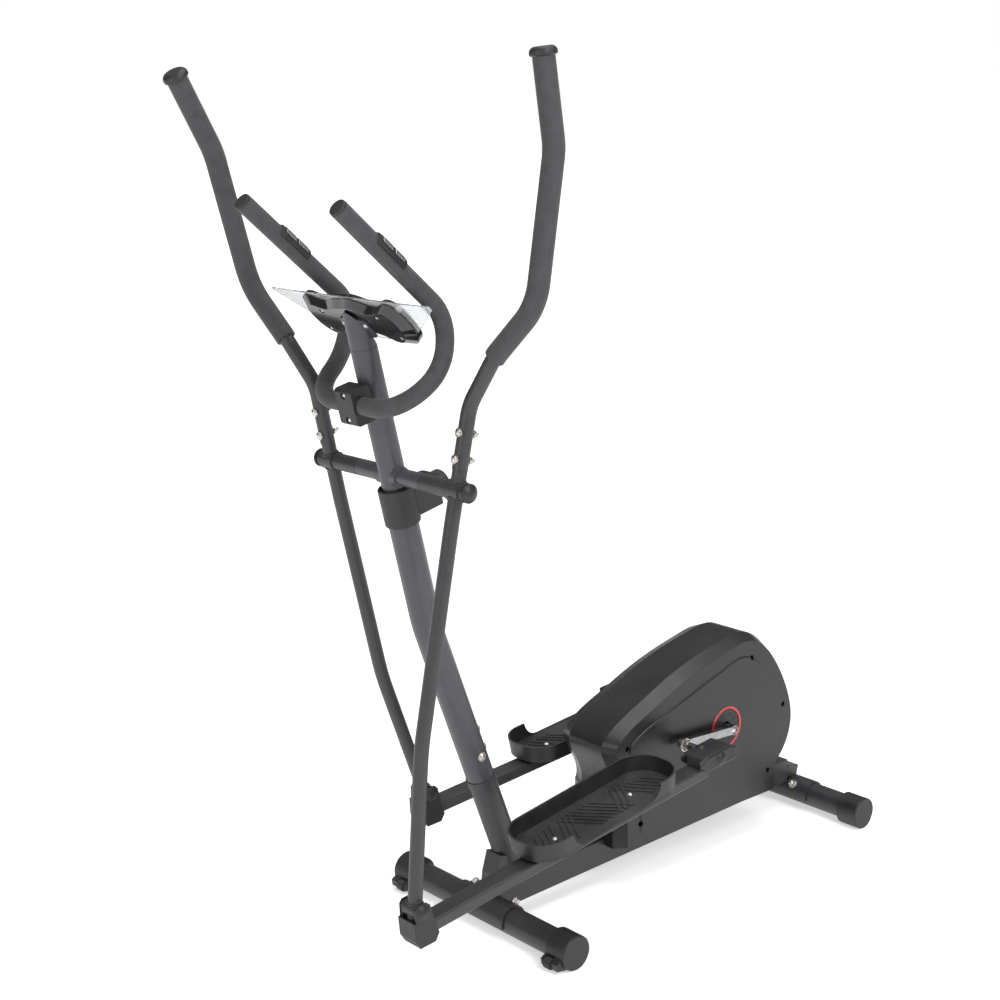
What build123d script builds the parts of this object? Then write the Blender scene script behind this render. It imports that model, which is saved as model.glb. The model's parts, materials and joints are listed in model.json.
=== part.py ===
from build123d import *
import os
from math import asin, atan2, cos, degrees, hypot, radians, sin

# Elliptical trainer with front mast and rear drive. Millimetres, +X forward (the way the user
# faces), +Y to the user's left, +Z up. Everything is laid out from the point on the floor under
# the front stabiliser, and moved at the end so that the origin is the bottom centre of the whole.

# ---- driving dimensions -------------------------------------------------------------------
floor_gap = 31.0             # stabiliser axis above the floor
stabiliser_r = 25.0
cap_r = 32.0                 # rubber end caps, trimmed flat where they meet the floor
cap_length = 48.0
front_half_width = 235.0
rear_half_width = 203.0
rear_x = -853.0              # rear stabiliser axis, from the front one
rear_axis_z = 33.0
tube_wall = 2.0

beam_width = 40.0
beam_height = 50.0
beam_front = (8.0, 53.0)   # beam centre line, x and z
beam_rear = (-828.0, 79.0)

post_joint = (14.3, 292.7)   # top of the stub, x and z
post_bend = (131.0, 598.0)
post_top = (256.0, 1108.0)
post_r = 25.5
upper_post_r = 22.2
stub_r = 23.2
cover_bottom_z, cover_top_z = 783.0, 848.0

pivot = (199.0, 868.0)       # swing axis of both arms, x and z
pivot_tube_r = 14.3
shaft_r = 8.0
arm_y = 166.0                # middle of each arm and pedal bar from the middle plane
sleeve_inner_y, sleeve_outer_y = 84.0, 192.0
arm_r = 12.2
arm_foot = (-46.0, -684.0)   # lower pivot in the arm's own frame, arm upright
swing = 12.19                # half of the arms' swing, degrees
grip_r = 17.5

axle = (-565.0, 257.0)       # crank axle, x and z
crank_lean = 3.0             # front end of the crank line above level, degrees
crank_y = 90.0               # middle of the crank arm
crank_thickness = 12.0
crank_height = 16.0
crank_pin_r = 8.0
crank_pin_end_y = 134.0
bar_width, bar_height = 38.0, 22.0
bar_drop_front, bar_drop_rear = 36.0, 16.0

band_half = 43.0             # flat top band of the housing
housing_half = 71.0
shell_wall = 2.5

bar_tube_r = 11.0            # fixed handlebar: steel core and foam
bar_foam_r = 15.0
running_gap = 0.05           # radial clearance of shafts in bores
surface_gap = 0.3

parts = {}


# ---- helpers ------------------------------------------------------------------------------
def at(x, y, z):
    return Pos(x, y, z)


def rod_y(x, z, y0, y1, radius):
    """Round bar along Y from y0 to y1."""
    return at(x, (y0 + y1) / 2, z) * Rot(90, 0, 0) * Cylinder(radius, abs(y1 - y0))


def pipe_y(x, z, y0, y1, outer, inner):
    return rod_y(x, z, y0, y1, outer) - rod_y(x, z, y0, y1, inner)


def block(x0, x1, y0, y1, z0, z1):
    middle = at((x0 + x1) / 2, (y0 + y1) / 2, (z0 + z1) / 2)
    return middle * Box(abs(x1 - x0), abs(y1 - y0), abs(z1 - z0))


def swept(points, radii, outer, inner=0.0):
    """Round tube along straight runs joined by arcs."""
    if len(points) > 2:
        path = FilletPolyline(*points, radius=radii)
    else:
        path = Polyline(*points)
    ring = Circle(outer)
    if inner:
        ring -= Circle(inner)
    return sweep(Plane(origin=path @ 0, z_dir=path % 0) * ring, path=path)


def plate_xz(outline, y0, y1):
    """Closed polygon in the XZ plane, thickened along Y."""
    face = make_face(Polyline(*[(x, 0, z) for x, z in outline], close=True))
    low, high = min(y0, y1), max(y0, y1)
    return at(0, low, 0) * extrude(face, amount=high - low, dir=(0, 1, 0))


def dome_y(x, z, y, side, radius, height):
    """Domed cap standing on the plane Y = y and bulging along side."""
    ball_r = (radius * radius + height * height) / (2 * height)
    ball = at(x, side * (y + height - ball_r), z) * Sphere(ball_r)
    return ball & rod_y(x, z, side * y, side * (y + height + 1), radius)


def rod_z(radius, height):
    """Round bar standing on the plane Z = 0."""
    return Cylinder(radius, height, align=(Align.CENTER, Align.CENTER, Align.MIN))


def hex_nut(radius, height):
    return extrude(RegularPolygon(radius, 6), height) & Cone(radius * 1.9, radius * 0.92, height * 2)


def bolt_head(radius, height):
    """Domed screw head on the plane Z = 0."""
    ball_r = (radius * radius + height * height) / (2 * height)
    return Pos(0, 0, height - ball_r) * Sphere(ball_r) & rod_z(radius, 4 * height)


def mirror_y(shape):
    return mirror(shape, Plane.XZ)


def both(shape):
    return [shape, mirror_y(shape)]


def group(*shapes):
    """Several separate solids under one name."""
    solids = []
    for shape in shapes:
        solids.extend(shape.solids())
    return Compound(children=solids)


def along(start, end, distance):
    """Point at a distance from start towards end, x and z."""
    length = hypot(end[0] - start[0], end[1] - start[1])
    return (
        start[0] + (end[0] - start[0]) * distance / length,
        start[1] + (end[1] - start[1]) * distance / length,
    )


def lean(start, end):
    """Angle of a line from vertical, towards +X, in degrees."""
    return degrees(atan2(end[0] - start[0], end[1] - start[1]))


def on_line(start, end, z):
    """x of a line in the XZ plane at height z."""
    return start[0] + (end[0] - start[0]) * (z - start[1]) / (end[1] - start[1])


# ---- linkage, solved at the two dead ends of the stroke --------------------------------------
def foot_at(angle):
    """Lower arm pivot when the arm leans by angle, positive with its top rearward."""
    c, s = cos(radians(angle)), sin(radians(angle))
    u, w = arm_foot
    return (pivot[0] + u * c - w * s, pivot[1] + u * s + w * c)


foot_front = foot_at(swing)
foot_rear = foot_at(-swing)
front_offset = Vector(foot_front[0] - axle[0], 0, foot_front[1] - axle[1])
rear_offset = Vector(foot_rear[0] - axle[0], 0, foot_rear[1] - axle[1])
crank_line = Vector(cos(radians(crank_lean)), 0, sin(radians(crank_lean)))
# The bar has one length at both ends of the stroke, which fixes the crank's throw.
throw = (front_offset.length**2 - rear_offset.length**2) / (2 * (front_offset + rear_offset).dot(crank_line))
bar_length = (front_offset - crank_line * throw).length
bar_angle_front = degrees(asin((crank_line * throw - front_offset).Z / bar_length))
bar_angle_rear = degrees(asin((crank_line * -throw - rear_offset).Z / bar_length))


def in_bar_frame(shape, foot, angle):
    """Bar frame: origin at the front pivot, +X forward, rear end raised by angle."""
    return at(foot[0], 0, foot[1]) * Rot(0, angle, 0) * shape


def in_arm_frame(shape, angle):
    return at(pivot[0], 0, pivot[1]) * Rot(0, -angle, 0) * shape


# ---- base frame -------------------------------------------------------------------------------
def tilted_box(start, end, width, height):
    length = hypot(end[0] - start[0], end[1] - start[1])
    tilt = degrees(atan2(start[1] - end[1], end[0] - start[0]))
    middle = at((start[0] + end[0]) / 2, 0, (start[1] + end[1]) / 2)
    return middle * Rot(0, tilt, 0) * Box(length, width, height)


bolt_y = 55.0                # stabiliser bolts either side of the middle
rear_bolt_y = 34.0
front_bolt_lean, rear_bolt_lean = -38.0, 50.0
saddle_half = 72.0
saddle_thickness = 4.0
flywheel_centre = (-380.0, 200.0)
tower_thickness = 5.0
tower_y = 52.0
stub_foot_z = 128.0


def saddle(x, z):
    """Curved plate that cups the top half of a stabiliser."""
    shell = pipe_y(x, z, -saddle_half, saddle_half, stabiliser_r + saddle_thickness, stabiliser_r)
    keep = block(x - 40, x + 40, -saddle_half, saddle_half, z - 8, z + 40)
    plate = shell & keep
    return plate


def tower(y):
    """Upright plate that holds the crank bearing and the flywheel axle."""
    base_z = 98.0
    outline = [
        (flywheel_centre[0] + 28, base_z),
        (flywheel_centre[0] + 16, flywheel_centre[1] + 16),
        (flywheel_centre[0] - 16, flywheel_centre[1] + 20),
        (axle[0] + 22, axle[1] + 26),
        (axle[0] - 22, axle[1] + 26),
        (axle[0] - 40, base_z),
    ]
    return plate_xz(outline, y - tower_thickness / 2, y + tower_thickness / 2)


beam = tilted_box(beam_front, beam_rear, beam_width, beam_height)
front_bore = rod_y(0, floor_gap, -200, 200, stabiliser_r)
rear_bore = rod_y(rear_x, rear_axis_z, -200, 200, stabiliser_r)
stub_foot_x = on_line(post_joint, post_bend, stub_foot_z)
stub_points = [
    (stub_foot_x, 0, stub_foot_z - 60), (stub_foot_x, 0, stub_foot_z), (post_joint[0], 0, post_joint[1]),
]
stub_tube = swept(stub_points, [60], post_r)
post_place = at(post_joint[0], 0, post_joint[1]) * Rot(0, lean(post_joint, post_bend), 0)
collar_ring = post_place * Pos(0, 0, -8) * Cylinder(post_r + 1.6, 16)
spigot = post_place * Cylinder(stub_r, 105, align=(Align.CENTER, Align.CENTER, Align.MIN))
shelf = block(axle[0] - 60, flywheel_centre[0] + 45, -tower_y - 3, tower_y + 3, 96, 101)
stub_box = plate_xz([(-78, 60), (-2, 60), (-6, 96), (-17, 134), (-68, 122)], -beam_width / 2, beam_width / 2)

base = beam + saddle(0, floor_gap) + saddle(rear_x, rear_axis_z) + stub_tube + stub_box
base += tilted_box((-828, 78), (rear_x - 8, 70), beam_width, 26)
base += shelf
for tower_side in (-1, 1):
    base += tower(tower_side * tower_y)
base = base + collar_ring + spigot
base -= front_bore
base -= rear_bore
base -= rod_y(*axle, -80, 80, 16.0)
base -= rod_y(*flywheel_centre, -80, 80, 6.05)


def bolt_places():
    """Frames of the four stabiliser bolts: origin on the tube's axis, Z along the bolt."""
    places = []
    for side in (-1, 1):
        places.append(at(0, side * bolt_y, floor_gap) * Rot(0, front_bolt_lean, 0))
        places.append(at(rear_x, side * rear_bolt_y, rear_axis_z) * Rot(0, rear_bolt_lean, 0))
    return places


def one_way_hole(radius):
    return Pos(0, 0, 10) * Cylinder(radius, 60, align=(Align.CENTER, Align.CENTER, Align.MIN))


for place in bolt_places():
    base -= place * one_way_hole(4.3)
side_bolt_offset = 50.0
rear_bolt_offsets = (48.0, 88.0)
post_axis_tilt = lean(post_joint, post_bend)


def on_post(distance, shape):
    """Place a shape on the post's axis, its own Z along the post."""
    x, z = along(post_joint, post_bend, distance)
    return at(x, 0, z) * Rot(0, post_axis_tilt, 0) * shape


def post_bolt_places():
    """Frames of the bolts that hold the post on the stub: Z points outwards from the post."""
    places = [on_post(side_bolt_offset, Rot(-90 * side, 0, 0)) for side in (-1, 1)]
    places += [on_post(offset, Rot(0, -90, 0)) for offset in rear_bolt_offsets]
    return places


for place in post_bolt_places():
    base -= place * Pos(0, 0, 8) * Cylinder(4.0, 40, align=(Align.CENTER, Align.CENTER, Align.MIN))
parts["base_frame"] = base


def stabiliser(x, z, half):
    tube = pipe_y(x, z, -half, half, stabiliser_r, stabiliser_r - tube_wall)
    for place in bolt_places():
        tube -= place * one_way_hole(4.3)
    return tube


parts["front_stabiliser"] = stabiliser(0, floor_gap, front_half_width - 6)
parts["rear_stabiliser"] = stabiliser(rear_x, rear_axis_z, rear_half_width - 6)

# ---- end caps, transport wheels and levelling caps ----------------------------------------------
wheel_x, wheel_z, wheel_r = 35.5, 14.0, 10.5
wheel_y0, wheel_y1 = 196.0, 212.0
above_floor = block(-1000, 400, -400, 400, 0, 300)


def front_cap(side):
    inner_y, outer_y = front_half_width - cap_length, front_half_width
    body = fillet(rod_y(0, floor_gap, inner_y, outer_y, cap_r).edges(), 3.0)
    lug = plate_xz([(18, 4), (wheel_x + 5, wheel_z - 6), (wheel_x + 7, wheel_z + 6), (22, 32)],
                   wheel_y1 + 2, outer_y - 6)
    inner_lug = plate_xz([(18, 4), (wheel_x + 5, wheel_z - 6), (wheel_x + 7, wheel_z + 6), (22, 32)],
                         inner_y + 2, wheel_y0 - 2)
    body = body + lug + inner_lug
    body -= rod_y(wheel_x, wheel_z, wheel_y0 - 1.5, wheel_y1 + 1.5, wheel_r + 1.5)
    body -= rod_y(0, floor_gap, inner_y - 5, front_half_width - 6, stabiliser_r)
    body += rod_y(wheel_x, wheel_z, wheel_y0 - 3, wheel_y1 + 3, 4.0)
    body &= above_floor
    return body if side > 0 else mirror_y(body)


def transport_wheel(side):
    body = fillet(rod_y(wheel_x, wheel_z, wheel_y0, wheel_y1, wheel_r).edges(), 2.0)
    body -= rod_y(wheel_x, wheel_z, wheel_y0 - 2, wheel_y1 + 2, 4.0 + running_gap)
    return body if side > 0 else mirror_y(body)


def levelling_cap(side):
    """Eccentric cap: its cam-shaped foot turns about the stabiliser to take up an uneven floor."""
    inner_y, outer_y = rear_half_width - cap_length, rear_half_width
    drum = Circle(cap_r - 1)
    foot = Pos(0, cap_r - 4 - rear_axis_z) * Circle(cap_r - 3)
    outline = make_hull([drum.edge(), foot.edge()])
    body = at(rear_x, outer_y, rear_axis_z) * (Plane.XZ * extrude(outline, cap_length))
    body = fillet(body.edges().group_by(Axis.Y)[-1], 2.5)
    body -= rod_y(rear_x, rear_axis_z, inner_y - 5, rear_half_width - 6, stabiliser_r + running_gap)
    body &= above_floor
    return body if side > 0 else mirror_y(body)


parts["front_caps"] = group(front_cap(1), front_cap(-1))
for name, side in (("left", 1), ("right", -1)):
    parts["transport_wheel_" + name] = transport_wheel(side)
    parts["levelling_cap_" + name] = levelling_cap(side)


# ---- frame bolts -------------------------------------------------------------------------------
def frame_bolt():
    """M8 bolt with washer and nut, origin on the stabiliser's axis."""
    shank = Pos(0, 0, 12) * Cylinder(4.0, 18, align=(Align.CENTER, Align.CENTER, Align.MIN))
    washer = Cylinder(9.5, 1.8, align=(Align.CENTER, Align.CENTER, Align.MIN))
    nut = Pos(0, 0, 1.8) * hex_nut(7.6, 6.5)
    tip = Pos(0, 0, 8.3) * bolt_head(5.4, 3.4)
    return shank + Pos(0, 0, stabiliser_r + saddle_thickness) * (washer + nut + tip)


bolts = [place * frame_bolt() for place in bolt_places()]
for place in post_bolt_places():
    head = Cylinder(8.4, 1.8, align=(Align.CENTER, Align.CENTER, Align.MIN))
    head += Pos(0, 0, 1.8) * bolt_head(6.6, 4.6)
    shank = Pos(0, 0, -13) * Cylinder(3.9, 13.2, align=(Align.CENTER, Align.CENTER, Align.MIN))
    bolts.append(place * Pos(0, 0, post_r + 0.1) * (head + shank))
parts["frame_bolts"] = group(*bolts)

# ---- console position ----------------------------------------------------------------------------
# Local frame: X up the slope and away from the user, Y to the left, Z out of the display.
console_centre = (253.0, 1127.0)
console_tilt = 45.0          # slope of the display, from level
console_place = at(console_centre[0], 0, console_centre[1]) * Rot(0, -console_tilt, 0)
console_back_z = -11.0
post_cut = -25.0             # top of the post, along it from the nominal end

# ---- posts and swing shaft ---------------------------------------------------------------------
lower_top_x = on_line(post_bend, post_top, cover_top_z - 6)
lower_post = swept([(post_joint[0], 0, post_joint[1]), (post_bend[0], 0, post_bend[1]),
                    (lower_top_x, 0, cover_top_z - 6)], [300], post_r, post_r - tube_wall)
for place in post_bolt_places():
    lower_post -= place * Pos(0, 0, 8) * Cylinder(4.0, 40, align=(Align.CENTER, Align.CENTER, Align.MIN))
parts["lower_post"] = lower_post

insert_z = 690.0
upper_start = (on_line(post_bend, post_top, insert_z), 0, insert_z)
upper_end = (on_line(post_bend, post_top, post_top[1] + post_cut), 0, post_top[1] + post_cut)
upper_post = swept([upper_start, upper_end], [], upper_post_r, upper_post_r - tube_wall)
cross_tube = rod_y(*pivot, -sleeve_inner_y + 1, sleeve_inner_y - 1, pivot_tube_r)
weld_bead = rod_y(*pivot, -upper_post_r - 4, upper_post_r + 4, pivot_tube_r + 3)
upper_post = upper_post + cross_tube + (weld_bead - swept([upper_start, upper_end], [], upper_post_r - 1))
upper_post -= rod_y(*pivot, -200, 200, shaft_r)
parts["upper_post"] = upper_post
parts["pivot_shaft"] = rod_y(*pivot, -sleeve_outer_y + 0.5, sleeve_outer_y - 0.5, shaft_r)

# ---- post cover and tension knob ---------------------------------------------------------------
post_tilt = lean(post_bend, post_top)
cover_mid_z = (cover_bottom_z + cover_top_z) / 2
cover_mid_x = on_line(post_bend, post_top, cover_mid_z)
knob_r = 24.0
cover_place = at(cover_mid_x, 0, cover_mid_z) * Rot(0, post_tilt, 0)
cover_height = 66.0
wrap = fillet(Cylinder(30.5, cover_height).edges(), 2.5)
pod = Pos(-46, 0, 2) * Box(60, 46, cover_height - 14)
pod = fillet(pod.edges().filter_by(Axis.Z), 8)
cover_solid = wrap + pod
cover_solid -= Cylinder(post_r + surface_gap, 200)
cover_solid -= Pos(-48, 0, 2) * Box(44, 36, cover_height - 22)
cover_solid -= Pos(-70, 0, 2) * Rot(0, 90, 0) * Cylinder(5.1, 30)
half_space = Pos(0, 200.05, 0) * Box(400, 400, 400)
cover_half = cover_solid & half_space
parts["post_covers"] = group(cover_place * cover_half, cover_place * mirror_y(cover_half))
knob = fillet(Cylinder(knob_r, 17).edges().group_by(Axis.Z)[-1], 3)
for turn in range(12):
    knob -= Rot(0, 0, turn * 30) * Pos(knob_r + 1.6, 0, 0) * Cylinder(3.2, 30)
knob += Pos(0, 0, -16) * Cylinder(5.0, 26)
knob_axis_local = (-87.0, 0.0, 2.0)
parts["tension_knob"] = cover_place * Pos(*knob_axis_local) * Rot(0, -90, 0) * knob

# ---- fixed handlebar -----------------------------------------------------------------------------
clamp_centre = (271.0, 993.0)
bar_points = [
    (clamp_centre[0], 0, clamp_centre[1]),
    (clamp_centre[0], 112, clamp_centre[1]),
    (193, 131, 1055),
    (182, 124, 1137),
    (384, 126, 1311),
]
bar_radii = [70, 92, 72]
half_bar = swept(bar_points, bar_radii, bar_tube_r)
parts["handlebar_tube"] = half_bar + mirror_y(half_bar)
foam_start = 24.0
foam_core = swept(bar_points, bar_radii, bar_foam_r, bar_tube_r)
foam_half = foam_core - block(200, 340, -foam_start, foam_start, 940, 1040)
parts["handlebar_foams"] = group(*both(foam_half))
tip = Vector(*bar_points[-1])
tip_dir = (tip - Vector(*bar_points[-2])).normalized()
plug_plane = Plane(origin=tip, z_dir=tip_dir)
plug = Cylinder(bar_foam_r - 0.4, 4.4)
plug = plug_plane * Pos(0, 0, 2.2) * fillet(plug.edges().group_by(Axis.Z)[-1], 2.0)
parts["bar_end_plugs"] = group(*both(plug))

# ---- pulse sensors: a black saddle on the foam with two chrome plates ------------------------------
sensor_far, sensor_near = 78.0, 144.0      # measured back from the tip
sensor_plane = Plane(origin=tip - tip_dir * (sensor_far + sensor_near) / 2, z_dir=tip_dir,
                     x_dir=Vector(-tip_dir.Z, 0, tip_dir.X))
sensor_length = sensor_near - sensor_far
saddle_ring = Cylinder(bar_foam_r + 3.2, sensor_length) - Cylinder(bar_foam_r + 0.02, sensor_length + 2)
saddle_ring = fillet(saddle_ring.edges().filter_by(GeomType.CIRCLE), 1.2)
sensor_body = saddle_ring & Pos(bar_foam_r * 0.9, 0, 0) * Box(bar_foam_r * 1.9, 60, 200)
plate_ring = Cylinder(bar_foam_r + 4.2, sensor_length - 14) - Cylinder(bar_foam_r + 3.22, sensor_length)
plate_wedge = Pos(bar_foam_r * 1.35, 0, 0) * Box(bar_foam_r * 1.6, 60, 200)
plates = plate_ring & plate_wedge
plates -= Box(100, 100, 7)
parts["pulse_sensors"] = group(*both(sensor_plane * sensor_body))
parts["pulse_plates"] = group(*both(sensor_plane * plates))

# ---- handlebar clamp ---------------------------------------------------------------------------
clamp_width = 44.0
clamp_place = at(clamp_centre[0], 0, clamp_centre[1]) * Rot(0, post_tilt, 0)
clamp_block = Box(38, clamp_width, 62)
clamp_block = fillet(clamp_block.edges().filter_by(Axis.Y), 7)
clamp_block = clamp_place * Pos(-1, 0, 0) * clamp_block
clamp_block -= rod_y(*clamp_centre, -60, 60, bar_tube_r + 0.02)
clamp_block -= swept([upper_start, upper_end], [], upper_post_r + 0.02)
for z in (-21, 21):
    clamp_block -= clamp_place * Pos(8, 0, z) * Rot(0, 90, 0) * Cylinder(3.05, 60)
    clamp_block -= clamp_place * Pos(16.5, 0, z) * Rot(0, 90, 0) * Cylinder(6.0, 4)
parts["handlebar_clamp"] = clamp_block.solids().sort_by(SortBy.VOLUME)[-1]


def panel_screw(length):
    """Pan-head screw along -Z, origin under the head."""
    head = bolt_head(5.0, 3.0)
    return head + Cylinder(2.75, length, align=(Align.CENTER, Align.CENTER, Align.MAX))


screws = [clamp_place * Pos(14.6, 0, z) * Rot(0, 90, 0) * panel_screw(12) for z in (-21, 21)]

# ---- console -------------------------------------------------------------------------------------
half_outline = [
    (50, 0), (45, 36), (39, 60), (42, 80), (48, 99), (44, 115), (30, 125), (10, 128), (-12, 126),
    (-32, 117), (-46, 99), (-43, 80), (-31, 62), (-24, 40), (-23, 0),
]


def console_outline(shrink):
    """Winged outline of the console, drawn in towards the middle by a factor."""
    points = half_outline + [(x, -y) for x, y in reversed(half_outline[1:-1])]
    middle_x = 8.0
    scaled = [(middle_x + (x - middle_x) * (1 - shrink * 2), y * (1 - shrink)) for x, y in points]
    return make_face(Spline(*scaled, periodic=True))


belly = loft([console_outline(0), Pos(0, 0, console_back_z) * console_outline(0.13)])
console_back = extrude(console_outline(0), 6) + belly
room = loft([Pos(0, 0, 1) * console_outline(0.035), Pos(0, 0, console_back_z + 2.5) * console_outline(0.16)])
console_back -= room
console_back -= extrude(Pos(0, 0, 0.9) * console_outline(0.035), 20)
bracket_screw_xy = [(4, 27.5), (4, -27.5)]
for x, y in bracket_screw_xy:
    console_back -= Pos(x, y, console_back_z) * Cylinder(2.9, 20)
boss_xy = [(24, 72), (24, -72), (-22, 92), (-22, -92)]
boss_floor = console_back_z + 4
for x, y in boss_xy:
    console_back += Pos(x, y, boss_floor - 3) * rod_z(6.0, 5.5 - console_back_z)
    console_back -= Pos(x, y, -30) * rod_z(3.0, 60)
    console_back -= Pos(x, y, -40) * rod_z(5.2, 39 + boss_floor)
console_back &= Pos(0, 0, 3 + console_back_z / 2) * Box(400, 400, 6 - console_back_z)
parts["console_back"] = console_place * console_back

panel_low, panel_high = 6.0, 12.0
screen_size = (38.0, 84.0)
screen_x = 18.0
button_spacing = 30.0
button_x = -14.0
front_panel = Pos(0, 0, panel_low) * extrude(console_outline(0), panel_high - panel_low)
front_panel = fillet(front_panel.edges().group_by(Axis.Z)[-1], 1.8)
front_panel -= Pos(screen_x, 0, panel_high) * Box(*screen_size, 4.2)
front_panel -= Pos(screen_x, 0, panel_low) * Box(screen_size[0] - 6, screen_size[1] - 6, 20)
button_ys = [-button_spacing, 0.0, button_spacing]
for y in button_ys:
    front_panel -= Pos(button_x, y, panel_low) * Box(10.2, 22.2, 30)
parts["console_front"] = console_place * front_panel
screen = Box(screen_size[0] - 0.2, screen_size[1] - 0.2, 2.0)
parts["console_screen"] = console_place * Pos(screen_x, 0, panel_high - 1.1) * screen
for name, y in zip(("right", "middle", "left"), button_ys):
    button = fillet(Box(9.4, 21.4, 8).edges().group_by(Axis.Z)[-1], 1.5)
    parts["console_button_" + name] = console_place * Pos(button_x, y, panel_high - 2) * button

bracket_thickness = 3.0
bracket = Pos(-4, 0, console_back_z - bracket_thickness / 2) * Box(42, 68, bracket_thickness)
bracket = fillet(bracket.edges().filter_by(Axis.Z), 8)
for x, y in bracket_screw_xy:
    bracket -= Pos(x, y, console_back_z) * Cylinder(3.0, 20)
stem_place = at(upper_end[0], 0, upper_end[2]) * Rot(0, post_tilt, 0)
neck = stem_place * Pos(0, 0, 0.02) * rod_z(upper_post_r - 0.4, 70)
neck -= console_place * Pos(0, 0, 200 + console_back_z - bracket_thickness) * Box(800, 400, 400)
stem = stem_place * Pos(0, 0, -30) * rod_z(upper_post_r - tube_wall - running_gap, 32.5)
parts["console_bracket"] = console_place * bracket + neck + stem
for x, y in bracket_screw_xy:
    screw_seat = console_place * Pos(x, y, console_back_z - bracket_thickness)
    screws.append(screw_seat * Rot(180, 0, 0) * panel_screw(9))
for x, y in boss_xy:
    screws.append(console_place * Pos(x, y, boss_floor - 1) * Rot(180, 0, 0) * panel_screw(11))

# ---- housing -------------------------------------------------------------------------------------
housing_points = [
    (-277, 180), (-262, 246), (-248, 290), (-274, 316), (-343, 350), (-411, 380), (-509, 412),
    (-580, 427), (-640, 432), (-690, 407), (-722, 372), (-752, 325), (-772, 280), (-782, 227),
    (-768, 175), (-736, 138),
]
housing_centre = (-520.0, 230.0)
housing_floor = 75.0


def housing_face(inset, y):
    """Side outline pulled in by inset, on the plane Y = y."""
    middle_x, middle_z = housing_centre
    points = []
    for x, z in housing_points:
        distance = hypot(x - middle_x, z - middle_z)
        points.append((x + (middle_x - x) * inset / distance, y, z + (middle_z - z) * inset / distance))
    front, rear = points[0], points[-1]
    bottom_z = housing_floor + inset * 0.6
    front_foot = (front[0] - 3, y, bottom_z)
    rear_foot = (rear[0] + 4, y, bottom_z)
    top = Spline(*points)
    edges = [top, Line(rear, rear_foot), Line(rear_foot, front_foot), Line(front_foot, front)]
    return make_face(edges)


def housing_body(inset):
    """Half of the housing: a flat band, a sloping shoulder and a flat side."""
    flat = extrude(housing_face(inset, 0), amount=band_half - inset * 0.5, dir=(0, 1, 0))
    shoulder_y = band_half - inset * 0.5
    side_y = housing_half - inset
    shoulder = loft([housing_face(inset, shoulder_y), housing_face(inset + 13, side_y)])
    return flat + shoulder


def side_panel():
    """Raised panel on the side, following the outline."""
    return loft([housing_face(46, housing_half - 1), housing_face(49, housing_half + 2.6)])


ring_outer, ring_inner = 43.0, 38.0
side_face_y = housing_half + 2.6
housing_half_shell = housing_body(0) + side_panel()
housing_half_shell -= housing_body(shell_wall)
housing_half_shell -= block(-900, -200, -10, beam_width / 2 + 1.2, 60, 110)
housing_half_shell -= rod_y(*axle, 0, 90, ring_inner - 9)
housing_half_shell -= rod_y(*axle, side_face_y - 2.2, 90, ring_outer + 0.1)
screw_spots = [(-640, 384), (-288, 282), (-326, 122), (-700, 130), (-742, 262)]
screw_boss_r = 6.5
screw_pocket = 17.0
housing_left = housing_half_shell
outer_body = housing_body(0)
for x, z in screw_spots:
    housing_left += rod_y(x, z, 0.3, housing_half, screw_boss_r) & outer_body
    housing_left -= rod_y(x, z, -1, 200, 2.9)
    housing_left -= rod_y(x, z, housing_half - screw_pocket, 200, 5.3)
shell_keep = block(-900, -200, 0.2, 200, 0, 600)
housing_left &= shell_keep
parts["housing_left"] = housing_left
parts["housing_right"] = mirror_y(housing_left)
for x, z in screw_spots:
    left_screw = at(x, housing_half - screw_pocket + 0.05, z) * Rot(-90, 0, 0) * panel_screw(30)
    screws.extend(both(left_screw))
hub_ring = pipe_y(*axle, side_face_y - 2.2, side_face_y + 0.8, ring_outer, ring_inner)
parts["hub_rings"] = group(*both(hub_ring))
hub_cover = pipe_y(*axle, side_face_y - 2.2, side_face_y - 0.4, ring_inner - 0.1, 12.0)
for turn in range(10):
    angle = radians(turn * 36)
    hub_cover -= rod_y(axle[0] + 27 * cos(angle), axle[1] + 27 * sin(angle), side_face_y - 1.2, 90, 2.4)
parts["hub_covers"] = group(*both(hub_cover))
parts["panel_screws"] = group(*screws)

# ---- crank, pulley, belt and flywheel --------------------------------------------------------------
axle_r = 8.5
pulley_r, pulley_y0, pulley_y1 = 98.0, -8.0, 8.0
belt_thickness = 3.0
small_pulley_r = 16.0
belt_ratio = pulley_r / small_pulley_r
parts["crank_axle"] = rod_y(*axle, -crank_y + 2.5, crank_y - 2.5, axle_r)
bearing = pipe_y(*axle, tower_y - 6, tower_y + 6, 16.0, axle_r + running_gap)
parts["crank_bearings"] = group(*both(bearing))
pulley = rod_y(*axle, pulley_y0, pulley_y1, pulley_r)
pulley -= rod_y(*axle, pulley_y0 + 4, pulley_y1 + 1, pulley_r - 10)
pulley += rod_y(*axle, pulley_y0, pulley_y1 + 14, 20)
for turn in range(6):
    hole_x = axle[0] + 58 * cos(radians(turn * 60 + 20))
    hole_z = axle[1] + 58 * sin(radians(turn * 60 + 20))
    pulley -= rod_y(hole_x, hole_z, -30, 30, 17)
pulley -= rod_y(*axle, -60, 60, axle_r)
parts["drive_pulley"] = pulley


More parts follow.
